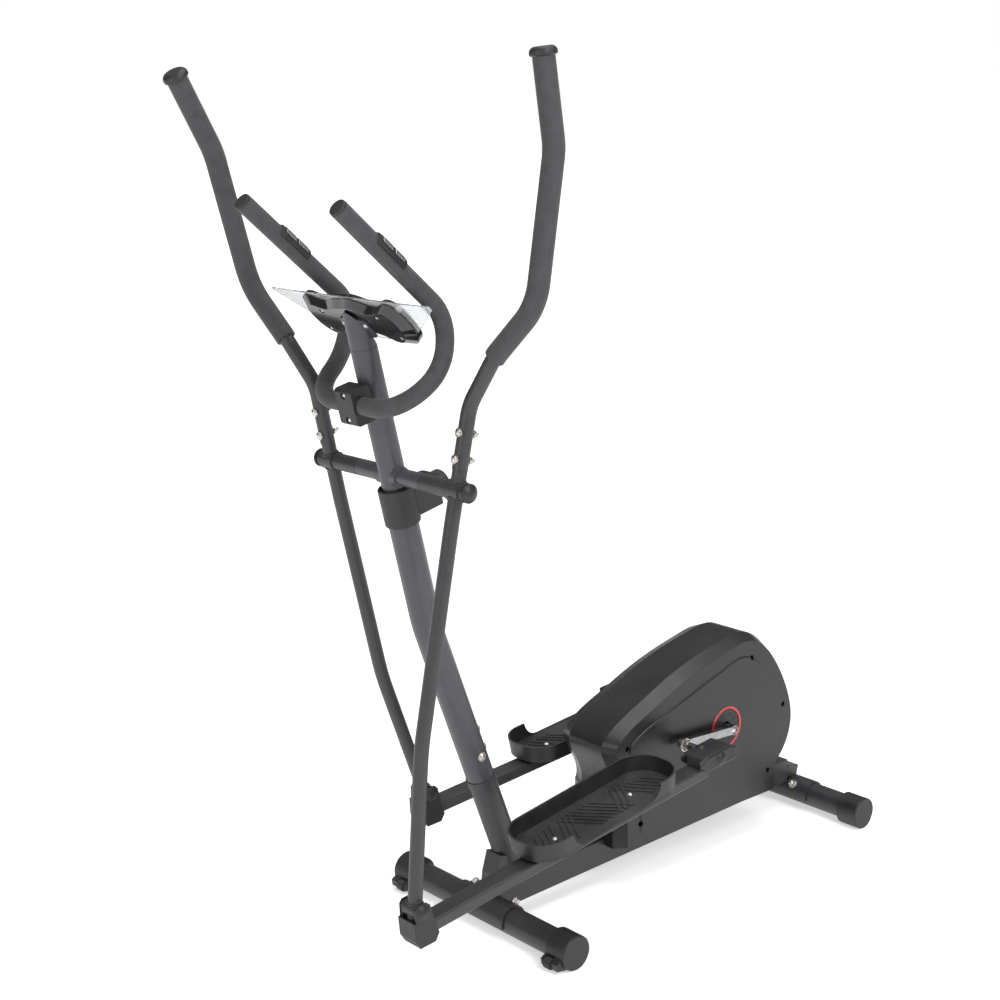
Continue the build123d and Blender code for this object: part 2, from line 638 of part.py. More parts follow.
def belt_loop(r_big, r_small):
    """Outer outline of a belt round both pulleys, as a solid across its width."""
    dx, dz = flywheel_centre[0] - axle[0], flywheel_centre[1] - axle[1]
    span = hypot(dx, dz)
    heading = atan2(dz, dx)
    spread = asin((r_big - r_small) / span)
    corners = []
    for sign in (1, -1):
        normal = heading + sign * (radians(90) - spread)
        for centre, radius in ((axle, r_big), (flywheel_centre, r_small)):
            corners.append((centre[0] + radius * cos(normal), centre[1] + radius * sin(normal)))
    strip = plate_xz([corners[0], corners[1], corners[3], corners[2]], pulley_y0 + 1.5, pulley_y1 - 1.5)
    strip += rod_y(*axle, pulley_y0 + 1.5, pulley_y1 - 1.5, r_big)
    strip += rod_y(*flywheel_centre, pulley_y0 + 1.5, pulley_y1 - 1.5, r_small)
    return strip


belt_in = surface_gap
belt = belt_loop(pulley_r + belt_in + belt_thickness, small_pulley_r + belt_in + belt_thickness)
belt -= belt_loop(pulley_r + belt_in, small_pulley_r + belt_in)
parts["drive_belt"] = belt

flywheel_r = 72.0
flywheel_y0, flywheel_y1 = 14.0, 30.0
flywheel_axle_r = 6.0
flywheel = rod_y(*flywheel_centre, flywheel_y0, flywheel_y1, flywheel_r)
flywheel -= rod_y(*flywheel_centre, flywheel_y0 - 1, flywheel_y0 + 5, flywheel_r - 14)
flywheel -= rod_y(*flywheel_centre, flywheel_y1 - 5, flywheel_y1 + 1, flywheel_r - 14)
flywheel += rod_y(*flywheel_centre, pulley_y0 - 2, flywheel_y1 + 4, small_pulley_r)
flywheel -= rod_y(*flywheel_centre, -60, 60, flywheel_axle_r + running_gap)
parts["flywheel"] = flywheel
parts["flywheel_axle"] = rod_y(*flywheel_centre, -tower_y - 6, tower_y + 6, flywheel_axle_r)

magnet_in, magnet_out = flywheel_r + 4, flywheel_r + 12
magnet_angle = radians(35)
magnet = pipe_y(*flywheel_centre, flywheel_y0 - 4, flywheel_y1 + 4, magnet_out, magnet_in)
magnet_side = at(flywheel_centre[0], 0, flywheel_centre[1]) * Rot(0, -degrees(magnet_angle), 0)
magnet &= magnet_side * Pos(magnet_in, 0, 0) * Box(60, 200, 76)
magnet += magnet_side * Pos(magnet_in + 5, (flywheel_y1 + tower_y) / 2, 0) * Box(6, tower_y - flywheel_y1, 30)
magnet += magnet_side * Pos(magnet_in / 2 + 4, tower_y - 4.5, 0) * Box(magnet_in, 4, 24)
magnet -= rod_y(*flywheel_centre, 0, 80, 9)
parts["magnet_bracket"] = magnet


def lean_crank(shape):
    return at(axle[0], 0, axle[1]) * Rot(0, -crank_lean, 0) * at(-axle[0], 0, -axle[1]) * shape


def crank_arm(side, direction):
    """Flat crank from the axle to the pedal bar's pin; direction is +1 forward, -1 rearward."""
    pin_x = axle[0] + direction * throw
    y0, y1 = crank_y - crank_thickness / 2, crank_y + crank_thickness / 2
    middle_x = (axle[0] + pin_x) / 2
    arm = at(middle_x, crank_y, axle[1]) * Box(throw, crank_thickness, crank_height)
    arm += rod_y(*axle, y0 - 2, y1, crank_height * 0.62) + rod_y(pin_x, axle[1], y0, y1, crank_height * 0.55)
    arm -= rod_y(*axle, 0, crank_y - 2.5, axle_r)
    arm -= rod_y(*axle, crank_y, 200, 8.6)
    arm += rod_y(pin_x, axle[1], y1 - 2, crank_pin_end_y, crank_pin_r)
    return lean_crank(arm if side > 0 else mirror_y(arm))


parts["crank_left"] = crank_arm(1, 1)
parts["crank_right"] = crank_arm(-1, -1)
crank_nuts = []
for side, direction in ((1, 1), (-1, -1)):
    pin_x = axle[0] + direction * throw
    washer = Cylinder(13, 2.6, align=(Align.CENTER, Align.CENTER, Align.MIN))
    nut = washer + Pos(0, 0, 2.6) * hex_nut(11.0, 8)
    nut = nut - Cylinder(crank_pin_r, 60)
    hub_screw = Cylinder(8.4, 3, align=(Align.CENTER, Align.CENTER, Align.MIN))
    hub_screw += Pos(0, 0, 3) * bolt_head(6.5, 2.4)
    pin_place = at(pin_x, crank_y + crank_thickness / 2, axle[1]) * Rot(-90, 0, 0)
    hub_place = at(axle[0], crank_y + 0.1, axle[1]) * Rot(-90, 0, 0)
    pair = group(pin_place * nut, hub_place * hub_screw)
    crank_nuts.append(lean_crank(pair if side > 0 else mirror_y(pair)))
parts["crank_nuts"] = group(*crank_nuts)

# ---- swing arms ------------------------------------------------------------------------------------
splice_z = 32.0              # where the upper arm slides over the lower one
splice_top = 118.0
arm_bend = (-8.0, -420.0)
foot_tail = 18.0             # the arm's tube runs on below its foot pivot
foot_y0, foot_y1 = 151.0, 181.0
upper_points = [
    (0.5, arm_y, splice_z), (0.5, arm_y, 135), (7.2, 214, 215.4),
    (7.1, 289, 300), (20, 289.5, 533.1), (61.7, 281.2, 660.6),
]
upper_radii = [60, 130, 90, 120]


def arm_tube_points():
    reach = hypot(arm_foot[0] - arm_bend[0], arm_foot[1] - arm_bend[1]) + foot_tail
    end_x, end_z = along(arm_bend, arm_foot, reach)
    return [(0, arm_y, splice_top), (0, arm_y, -60), (arm_bend[0], arm_y, arm_bend[1]), (end_x, arm_y, end_z)]


def lower_arm():
    tube = swept(arm_tube_points(), [2000, 500], arm_r)
    tube = tube - (Pos(0, arm_y, splice_z + 100) * (Cylinder(30, 200) - Cylinder(10.4, 202)))
    tube += rod_y(0, 0, sleeve_inner_y, sleeve_outer_y, pivot_tube_r)
    tube += rod_y(*arm_foot, foot_y0, foot_y1, 15)
    tube += fillet_collar(0, 0)
    tube -= rod_y(0, 0, sleeve_inner_y - 5, sleeve_outer_y + 5, shaft_r + running_gap)
    tube -= rod_y(*arm_foot, foot_y0 - 5, foot_y1 + 5, 6.0 + running_gap)
    for z in bolt_heights:
        tube -= Pos(0, arm_y, z) * Rot(0, 90, 0) * Cylinder(3.1, 60)
    return tube


def fillet_collar(x, z):
    """Flared weld where the arm's tube meets its pivot sleeve."""
    return rod_y(x, z, arm_y - 17, arm_y + 17, pivot_tube_r + 2.4)


bolt_heights = (49.0, 91.0)


def upper_arm():
    tube = swept(upper_points, upper_radii, arm_r + 0.6, 10.4)
    for z in bolt_heights:
        tube -= Pos(0.5, arm_y, z) * Rot(0, 90, 0) * Cylinder(3.1, 60)
    return tube


grip_cut = Plane(origin=(7.2, 214, 215.4), z_dir=Vector(0, 0.66, 0.75))


def arm_grip():
    foam = swept(upper_points, upper_radii, grip_r, arm_r + 0.6)
    below = grip_cut * Pos(0, 0, -200) * Box(300, 300, 400)
    return foam - below


top_point = Vector(*upper_points[-1])
top_dir = (top_point - Vector(*upper_points[-2])).normalized()
top_plane = Plane(origin=top_point, z_dir=top_dir)


def arm_cap():
    """Mushroom cap on the end of the grip."""
    cap = Cylinder(21.5, 14, align=(Align.CENTER, Align.CENTER, Align.MIN))
    cap = fillet(cap.edges().group_by(Axis.Z)[-1], 9.5)
    cap = fillet(cap.edges().group_by(Axis.Z)[0], 3.0)
    plug_in = Cylinder(10.3, 24, align=(Align.CENTER, Align.CENTER, Align.MAX))
    return top_plane * Pos(0, 0, 0.2) * (cap + plug_in)


def arm_bolt(height):
    """Bolt through the splice, with a washer cap in front, a saddle washer and a nut behind."""
    outer = arm_r + 0.6
    place = Pos(0.5, arm_y, height)
    washer = Cylinder(7.6, 2.4, align=(Align.CENTER, Align.CENTER, Align.MIN))
    front = Pos(outer, 0, 0) * Rot(0, 90, 0) * (washer + Pos(0, 0, 2.4) * bolt_head(5.6, 3.4))
    shank = Rot(0, 90, 0) * Cylinder(3.0, 2 * outer + 1)
    rear = Pos(-outer, 0, 0) * Rot(0, -90, 0) * (
        Cylinder(7.0, 3.0, align=(Align.CENTER, Align.CENTER, Align.MIN)) + Pos(0, 0, 3) * hex_nut(5.8, 5)
        + Pos(0, 0, 8) * Cylinder(3.0, 5, align=(Align.CENTER, Align.CENTER, Align.MIN)))
    return place * (front + shank + rear)


def pivot_cap():
    """Ringed, domed cap that hides the end of the swing shaft."""
    collar_end = sleeve_outer_y + 5
    ring = rod_y(0, 0, sleeve_outer_y, collar_end, pivot_tube_r + 1.6)
    return ring + dome_y(0, 0, collar_end, 1, pivot_tube_r + 0.2, 7)


# ---- pedal bars ------------------------------------------------------------------------------------
cheek_thickness = 3.5
cheek_gap = 0.4
cheek_y0 = foot_y1 + cheek_gap
front_bolt_r = 6.0
tray_from, tray_to = 238.0, 592.0


def bar_tube_line():
    rise = (bar_drop_front - bar_drop_rear) / bar_length
    start = (-12.0, -bar_drop_front + 12.0 * rise)
    end = (-bar_length + 34.0, -bar_drop_rear - 34.0 * rise)
    return start, end


def pedal_bar():
    start, end = bar_tube_line()
    length = hypot(end[0] - start[0], end[1] - start[1])
    tilt = degrees(atan2(start[1] - end[1], end[0] - start[0]))
    tube = at((start[0] + end[0]) / 2, arm_y, (start[1] + end[1]) / 2) * Rot(0, tilt, 0)
    body = tube * Box(length, bar_width, bar_height)
    body = fillet(body.edges().group_by(SortBy.LENGTH)[-1], 4.0)
    outline = [(14, -50), (14, 6), (8, 13), (-8, 13), (-14, 6), (-18, -22), (-24, -50)]
    for sign in (-1, 1):
        inner = arm_y + sign * (foot_y1 - arm_y + cheek_gap)
        body += plate_xz(outline, inner, inner + sign * cheek_thickness)
    wide = foot_y1 - arm_y + cheek_gap + cheek_thickness
    body += block(-24, 14, arm_y - wide, arm_y + wide, -54, -50)
    rear_block = at(-bar_length, arm_y, 0)
    body += rear_block * block(-20, 52, -18, 18, -bar_drop_rear, 13)
    body -= rod_y(0, 0, arm_y - 60, arm_y + 60, front_bolt_r)
    body -= rod_y(-bar_length, 0, arm_y - 60, arm_y + 60, 9.0)
    return body


def front_covers():
    """Two plastic half shoes over the bar's front fork."""
    wide = foot_y1 - arm_y + cheek_gap + cheek_thickness
    outline = [
        (20, -13), (20, -46), (12, -61), (-20, -61), (-29, -48), (-22, -20),
        (-16, 8), (-9, 15), (9, 15), (15, 8), (16, -13),
    ]
    core = plate_xz(outline, arm_y + 0.1, arm_y + wide + 3.5)
    core = fillet(core.edges().group_by(Axis.Y)[-1], 2.0)
    lip_x = 17.0             # inner face of the wall in front of the arm's foot
    hollow = [(lip_x, -54.3), (lip_x, 60), (-90, 60), (-90, -54.3)]
    inside = plate_xz(hollow, arm_y - 1, arm_y + wide + 0.1)
    notch = plate_xz([(-2, -80), (-6, -60), (2, -60), (6, -80)], arm_y - 1, arm_y + 8)
    outer = core - inside - notch
    outer += dome_y(0, 0, arm_y + wide + 3.4, 1, 13.5, 6.5)
    outer -= rod_y(0, 0, arm_y, arm_y + wide + 4.4, front_bolt_r + 3.5)
    inner = mirror(outer, Plane(origin=(0, arm_y, 0), z_dir=(0, 1, 0)))
    return [outer, inner]


def rear_covers():
    """Plastic cap over the bar's rear joint in two halves, each with a domed screw cap."""
    x0 = -bar_length
    outline = [
        (x0 - 40, -14), (x0 + 40, -14), (x0 + 60, 2), (x0 + 60, 10),
        (x0 + 40, 18), (x0 - 24, 19), (x0 - 40, 10),
    ]
    core = plate_xz(outline, arm_y + 0.1, arm_y + 27)
    core = fillet(core.edges().group_by(Axis.Y)[-1], 5)
    plain_half = core - block(x0 - 20.3, x0 + 100, arm_y - 1, arm_y + 19.2, -40, 13.2)
    half = plain_half + dome_y(x0 + 4, 2, arm_y + 26.9, 1, 12.0, 6.5)
    other = mirror(plain_half, Plane(origin=(0, arm_y, 0), z_dir=(0, 1, 0)))
    other += at(x0 + 16, arm_y - 12, 17.8) * bolt_head(9.5, 5)
    other -= rod_y(x0, 0, arm_y - 60, arm_y, 9)
    return [half, other]


def bar_bolts():
    """Front pivot bolt, and the two screws that hold the pedal."""
    wide = foot_y1 - arm_y + cheek_gap + cheek_thickness
    bolt = rod_y(0, 0, arm_y - wide - 2.5, arm_y + wide + 2.5, front_bolt_r)
    pieces = [bolt]
    for u in screw_spots_tray:
        seat = tread_at(u)
        shank = Cylinder(3.0, 22, align=(Align.CENTER, Align.CENTER, Align.MAX))
        pieces.append(at(-u, arm_y, seat) * (bolt_head(6.2, 3.4) + shank))
    return pieces


# ---- pedals ----------------------------------------------------------------------------------------
tray_inner, tray_outer = 102.0, 222.0
tray_wall = 3.4
wall_height = 30.0
tread_lift = 9.0
screw_spots_tray = (312.0, 500.0)
tread_start, tray_tilt_rise = -22.4, 0.057


def tread_at(u):
    """Height of the tread above the pin line, u behind the front pivot."""
    return tread_start + tray_tilt_rise * u


def tray_outline(grow, z, u0, u1):
    """Plan of the tray: straight inner side, round ends, and a shallow waist outside."""
    middle_y = (tray_inner + tray_outer) / 2
    half_y = (tray_outer - tray_inner) / 2 + grow
    half_x = (u1 - u0) / 2 + grow
    centre = Pos(0, middle_y, z)
    return centre * RectangleRounded(2 * half_x, 2 * half_y, half_y * 0.86)


def seat_block():
    """Wedge between the bar's top face and the tray, which is steeper than the bar."""
    rise = (bar_drop_front - bar_drop_rear) / bar_length
    corners = []
    for u in (tray_from + 30, tray_to - 30):
        bar_top = -bar_drop_front + rise * u + bar_height / 2 + 0.1
        corners.append(((-u, bar_top), (-u, tread_at(u) - 3)))
    (low_front, high_front), (low_rear, high_rear) = corners
    return plate_xz([low_front, high_front, high_rear, low_rear], arm_y - 15, arm_y + 15)


def pedal():
    """Foot tray: ribbed tread, tall wall inside and round both ends, open outside."""
    length = tray_to - tray_from
    base_plate = loft([tray_outline(-9, -tread_lift + 2, 0, length), tray_outline(-1.5, -1.0, 0, length)])
    rim = extrude(tray_outline(0, -3, 0, length), 3.0)
    tall = loft([tray_outline(-0.5, -2.5, 0, length), tray_outline(3, wall_height, 0, length)])
    room_foot = tray_outline(-0.5 - tray_wall, 0, 0, length)
    room = loft([room_foot, tray_outline(3 - tray_wall, wall_height + 0.5, 0, length)])
    wall = tall - room
    opening = 216.0
    side_cut = fillet(Box(opening, 120, 120).edges().filter_by(Axis.Y), 30)
    wall -= Pos(0, tray_outer + 10, 60 + 1.0) * side_cut
    tray = base_plate + rim + wall
    rib_height = 2.2
    for index in range(-6, 7):
        rib = Pos(index * 13.0, (tray_inner + tray_outer) / 2, rib_height / 2 - 0.2)
        turn = 32 if abs(index) < 4 else -32
        tray += rib * Rot(0, 0, turn) * Box(4.0, 84, rib_height)
    for sign in (-1, 1):
        for step in range(5):
            stripe = Pos(sign * (98 + step * 13.0), (tray_inner + tray_outer) / 2, rib_height / 2 - 0.2)
            tray += stripe * Rot(0, 0, -28 * sign) * Box(4.0, 78 - step * 8, rib_height)
    tilt = degrees(atan2(tray_tilt_rise, 1.0))
    middle_u = (tray_from + tray_to) / 2
    placed = at(-middle_u, 0, tread_at(middle_u)) * Rot(0, tilt, 0) * tray
    placed += seat_block()
    for u in screw_spots_tray:
        placed -= at(-u, arm_y, tread_at(u) - 20) * Cylinder(3.05, 100)
        head_room = Cylinder(7.5, 60, align=(Align.CENTER, Align.CENTER, Align.MIN))
        placed -= at(-u, arm_y, tread_at(u)) * head_room
    return placed


def place_side(side, shape, kind):
    """Left side pieces lean back at rest, right side ones lean forward."""
    own = shape if side > 0 else mirror_y(shape)
    if kind == "arm":
        return in_arm_frame(own, swing * side)
    foot, angle = (foot_front, bar_angle_front) if side > 0 else (foot_rear, bar_angle_rear)
    return in_bar_frame(own, foot, angle)


arm_pieces = {
    "lower_arm": lower_arm(),
    "upper_arm": upper_arm(),
    "arm_grip": arm_grip(),
    "arm_caps": group(arm_cap(), pivot_cap()),
    "arm_bolts": group(*[arm_bolt(z) for z in bolt_heights]),
}
bar_solid = pedal_bar()
pedal_solid = pedal()
bolt_solids = group(*bar_bolts())
for u in screw_spots_tray:
    bar_solid -= at(-u, arm_y, tread_at(u) - 20) * Cylinder(3.05, 60)
bar_pieces = {
    "pedal_bar": bar_solid,
    "pedal": pedal_solid,
    "bar_covers": group(*front_covers(), *rear_covers()),
    "bar_bolts": bolt_solids,
}
for name, side in (("left", 1), ("right", -1)):
    for piece, shape in arm_pieces.items():
        parts[piece + "_" + name] = place_side(side, shape, "arm")
    for piece, shape in bar_pieces.items():
        parts[piece + "_" + name] = place_side(side, shape, "bar")

# ---- export ----------------------------------------------------------------------------------------
whole = Compound(children=[shape.moved(Location()) for shape in parts.values()]).bounding_box()
shift = Vector(-(whole.min.X + whole.max.X) / 2, -(whole.min.Y + whole.max.Y) / 2, -whole.min.Z)
print("size", whole.size, "shift", shift, "nodes", len(parts))
print("throw", throw, "bar", bar_length, "angles", bar_angle_front, bar_angle_rear)
print("foot_front", foot_front, "foot_rear", foot_rear)
os.makedirs("parts", exist_ok=True)
for name, shape in parts.items():
    export_step(Pos(shift) * shape, "parts/" + name + ".step")
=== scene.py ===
import json
import math

import bmesh
import bpy
import numpy as np
from mathutils import Matrix, Vector


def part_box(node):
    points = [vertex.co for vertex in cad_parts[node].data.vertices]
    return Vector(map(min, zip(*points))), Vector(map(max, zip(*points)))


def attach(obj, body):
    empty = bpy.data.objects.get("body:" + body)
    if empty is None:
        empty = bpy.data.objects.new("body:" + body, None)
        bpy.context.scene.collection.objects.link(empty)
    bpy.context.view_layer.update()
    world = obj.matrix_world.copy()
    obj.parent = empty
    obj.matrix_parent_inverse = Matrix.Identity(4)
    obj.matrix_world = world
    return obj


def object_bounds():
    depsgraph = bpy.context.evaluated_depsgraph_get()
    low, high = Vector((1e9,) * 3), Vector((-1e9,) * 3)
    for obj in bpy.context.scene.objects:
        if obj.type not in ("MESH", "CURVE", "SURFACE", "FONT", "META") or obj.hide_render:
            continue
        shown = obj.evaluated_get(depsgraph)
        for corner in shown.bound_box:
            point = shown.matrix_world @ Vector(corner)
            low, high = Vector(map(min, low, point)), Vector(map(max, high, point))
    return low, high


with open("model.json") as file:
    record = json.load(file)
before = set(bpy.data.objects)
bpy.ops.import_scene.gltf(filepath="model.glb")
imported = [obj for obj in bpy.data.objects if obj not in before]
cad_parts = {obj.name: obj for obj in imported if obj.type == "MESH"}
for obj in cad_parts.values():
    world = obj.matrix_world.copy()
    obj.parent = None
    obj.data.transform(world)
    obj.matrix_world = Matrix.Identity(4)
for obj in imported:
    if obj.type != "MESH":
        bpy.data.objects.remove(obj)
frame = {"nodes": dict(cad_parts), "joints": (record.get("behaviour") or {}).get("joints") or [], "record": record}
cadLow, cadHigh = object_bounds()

# Looks of a rear-drive elliptical trainer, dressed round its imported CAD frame.
# Everything is in metres. +X is forward, +Y is the user's left, +Z is up.
nodes = frame["nodes"]
joints = {joint["name"]: joint for joint in frame["joints"]}
slotOf = {part["node"]: part["material_slot"] for part in frame["record"]["subparts"]}
sideSigns = {"left": 1.0, "right": -1.0}


# ---- shader groups shared by several finishes
def addNode(tree, kind, x=0, y=0, **settings):
    node = tree.nodes.new(kind)
    node.location = (x, y)
    for setting, value in settings.items():
        setattr(node, setting, value)
    return node


def newGroup(name, inputs, outputs):
    tree = bpy.data.node_groups.new(name, "ShaderNodeTree")
    for socket, kind, value in inputs:
        made = tree.interface.new_socket(socket, in_out="INPUT", socket_type="NodeSocket" + kind)
        if value is not None:
            made.default_value = value
    for socket, kind in outputs:
        tree.interface.new_socket(socket, in_out="OUTPUT", socket_type="NodeSocket" + kind)
    entry = addNode(tree, "NodeGroupInput", -900)
    leave = addNode(tree, "NodeGroupOutput", 700)
    return tree, entry, leave


def remap(tree, source, low, high, x=0, y=0, toLow=0.0, toHigh=1.0):
    node = addNode(tree, "ShaderNodeMapRange", x, y)
    node.inputs["From Min"].default_value = low
    node.inputs["From Max"].default_value = high
    node.inputs["To Min"].default_value = toLow
    node.inputs["To Max"].default_value = toHigh
    tree.links.new(source, node.inputs["Value"])
    return node.outputs["Result"]


def combine(tree, operation, first, second, x=0, y=0):
    node = addNode(tree, "ShaderNodeMath", x, y, operation=operation)
    for socket, value in zip(node.inputs, (first, second)):
        if isinstance(value, (int, float)):
            socket.default_value = value
        else:
            tree.links.new(value, socket)
    return node.outputs[0]


def noise(tree, vector, scale, detail, x=0, y=0, rough=0.5):
    node = addNode(tree, "ShaderNodeTexNoise", x, y)
    node.inputs["Detail"].default_value = detail
    node.inputs["Roughness"].default_value = rough
    if isinstance(scale, (int, float)):
        node.inputs["Scale"].default_value = scale
    else:
        tree.links.new(scale, node.inputs["Scale"])
    tree.links.new(vector, node.inputs["Vector"])
    return node.outputs["Fac"]


def buildEdgeWear():
    # Worn edges: where a small bevel's normal turns away from the face, broken up by noise.
    tree, entry, leave = newGroup(
        "edgeWear",
        [("Vector", "Vector", None), ("Radius", "Float", 0.0012), ("Amount", "Float", 0.5)],
        [("Mask", "Float"), ("Normal", "Vector")],
    )
    bevel = addNode(tree, "ShaderNodeBevel", -600, 200, samples=4)
    tree.links.new(entry.outputs["Radius"], bevel.inputs["Radius"])
    geometry = addNode(tree, "ShaderNodeNewGeometry", -600, -50)
    turned = addNode(tree, "ShaderNodeVectorMath", -400, 100, operation="DOT_PRODUCT")
    tree.links.new(bevel.outputs["Normal"], turned.inputs[0])
    tree.links.new(geometry.outputs["Normal"], turned.inputs[1])
    edge = remap(tree, turned.outputs["Value"], 0.985, 0.80, -200, 100)
    chips = remap(tree, noise(tree, entry.outputs["Vector"], 140.0, 4.0, -600, -300), 0.42, 0.68, -200, -250)
    worn = combine(tree, "MULTIPLY", edge, chips, 50, 50)
    tree.links.new(combine(tree, "MULTIPLY", worn, entry.outputs["Amount"], 300, 50), leave.inputs["Mask"])
    tree.links.new(bevel.outputs["Normal"], leave.inputs["Normal"])
    return tree


def buildDust():
    # Fine dust that settles on faces that look up, in soft patches.
    tree, entry, leave = newGroup(
        "settledDust",
        [("Vector", "Vector", None), ("Facing", "Vector", None), ("Amount", "Float", 0.1)],
        [("Mask", "Float")],
    )
    split = addNode(tree, "ShaderNodeSeparateXYZ", -600, 100)
    tree.links.new(entry.outputs["Facing"], split.inputs[0])
    up = remap(tree, split.outputs["Z"], 0.35, 1.0, -350, 100)
    patches = remap(tree, noise(tree, entry.outputs["Vector"], 9.0, 5.0, -600, -200), 0.35, 0.75, -350, -200)
    dust = combine(tree, "MULTIPLY", up, patches, 0, 0)
    tree.links.new(combine(tree, "MULTIPLY", dust, entry.outputs["Amount"], 250, 0), leave.inputs["Mask"])
    return tree


def buildPeel():
    # Powder coat: the soft dimples of melted powder, with a finer speckle.
    tree, entry, leave = newGroup(
        "orangePeel",
        [("Vector", "Vector", None), ("Scale", "Float", 900.0)],
        [("Height", "Float"), ("Value", "Float")],
    )
    coarse = noise(tree, entry.outputs["Vector"], entry.outputs["Scale"], 1.0, -600, 100)
    fineScale = combine(tree, "MULTIPLY", entry.outputs["Scale"], 2.7, -800, -200)
    fine = noise(tree, entry.outputs["Vector"], fineScale, 2.0, -600, -200)
    height = combine(tree, "ADD", coarse, combine(tree, "MULTIPLY", fine, 0.35, -300, -200), 0, 0)
    tree.links.new(height, leave.inputs["Height"])
    tree.links.new(noise(tree, entry.outputs["Vector"], 34.0, 4.0, -600, -450), leave.inputs["Value"])
    return tree


def buildPebble():
    # Moulded plastic: spark-eroded grain of rounded cells.
    tree, entry, leave = newGroup(
        "mouldGrain",
        [("Vector", "Vector", None), ("Scale", "Float", 1100.0)],
        [("Height", "Float"), ("Value", "Float")],
    )
    cells = addNode(tree, "ShaderNodeTexVoronoi", -600, 100, feature="SMOOTH_F1")
    tree.links.new(entry.outputs["Vector"], cells.inputs["Vector"])
    tree.links.new(entry.outputs["Scale"], cells.inputs["Scale"])
    rough = noise(tree, entry.outputs["Vector"], entry.outputs["Scale"], 3.0, -600, -200)
    height = combine(tree, "ADD", cells.outputs["Distance"], combine(tree, "MULTIPLY", rough, 0.5, -300, -200))
    tree.links.new(height, leave.inputs["Height"])
    tree.links.new(noise(tree, entry.outputs["Vector"], 26.0, 5.0, -600, -450), leave.inputs["Value"])
    return tree


def buildFoamCells():
    # Closed-cell foam: a skin of tiny burst bubbles over a slow unevenness.
    tree, entry, leave = newGroup(
        "foamCells",
        [("Vector", "Vector", None), ("Scale", "Float", 1500.0)],
        [("Height", "Float"), ("Value", "Float")],
    )
    cells = addNode(tree, "ShaderNodeTexVoronoi", -600, 100, feature="F1")
    tree.links.new(entry.outputs["Vector"], cells.inputs["Vector"])
    tree.links.new(entry.outputs["Scale"], cells.inputs["Scale"])
    pits = remap(tree, cells.outputs["Distance"], 0.05, 0.45, -300, 100)
    slow = noise(tree, entry.outputs["Vector"], 60.0, 3.0, -600, -200)
    height = combine(tree, "ADD", pits, combine(tree, "MULTIPLY", slow, 1.6, -300, -200))
    tree.links.new(height, leave.inputs["Height"])
    tree.links.new(slow, leave.inputs["Value"])
    return tree


def buildBrushed():
    # Turned or drawn metal: noise stretched into fine lines.
    tree, entry, leave = newGroup(
        "fineLines",
        [("Vector", "Vector", None), ("Scale", "Float", 60.0)],
        [("Height", "Float"), ("Value", "Float")],
    )
    stretch = addNode(tree, "ShaderNodeMapping", -800, 0)
    stretch.inputs["Scale"].default_value = (1.0, 14.0, 1.0)
    tree.links.new(entry.outputs["Vector"], stretch.inputs["Vector"])
    lines = noise(tree, stretch.outputs["Vector"], entry.outputs["Scale"], 6.0, -500, 100, 0.65)
    tree.links.new(lines, leave.inputs["Height"])
    tree.links.new(noise(tree, entry.outputs["Vector"], 70.0, 4.0, -500, -200), leave.inputs["Value"])
    return tree


edgeWear = buildEdgeWear()
settledDust = buildDust()
textures = {
    "peel": buildPeel(),
    "pebble": buildPebble(),
    "foam": buildFoamCells(),
    "lines": buildBrushed(),
}
print("shader groups built:", len(textures) + 2)

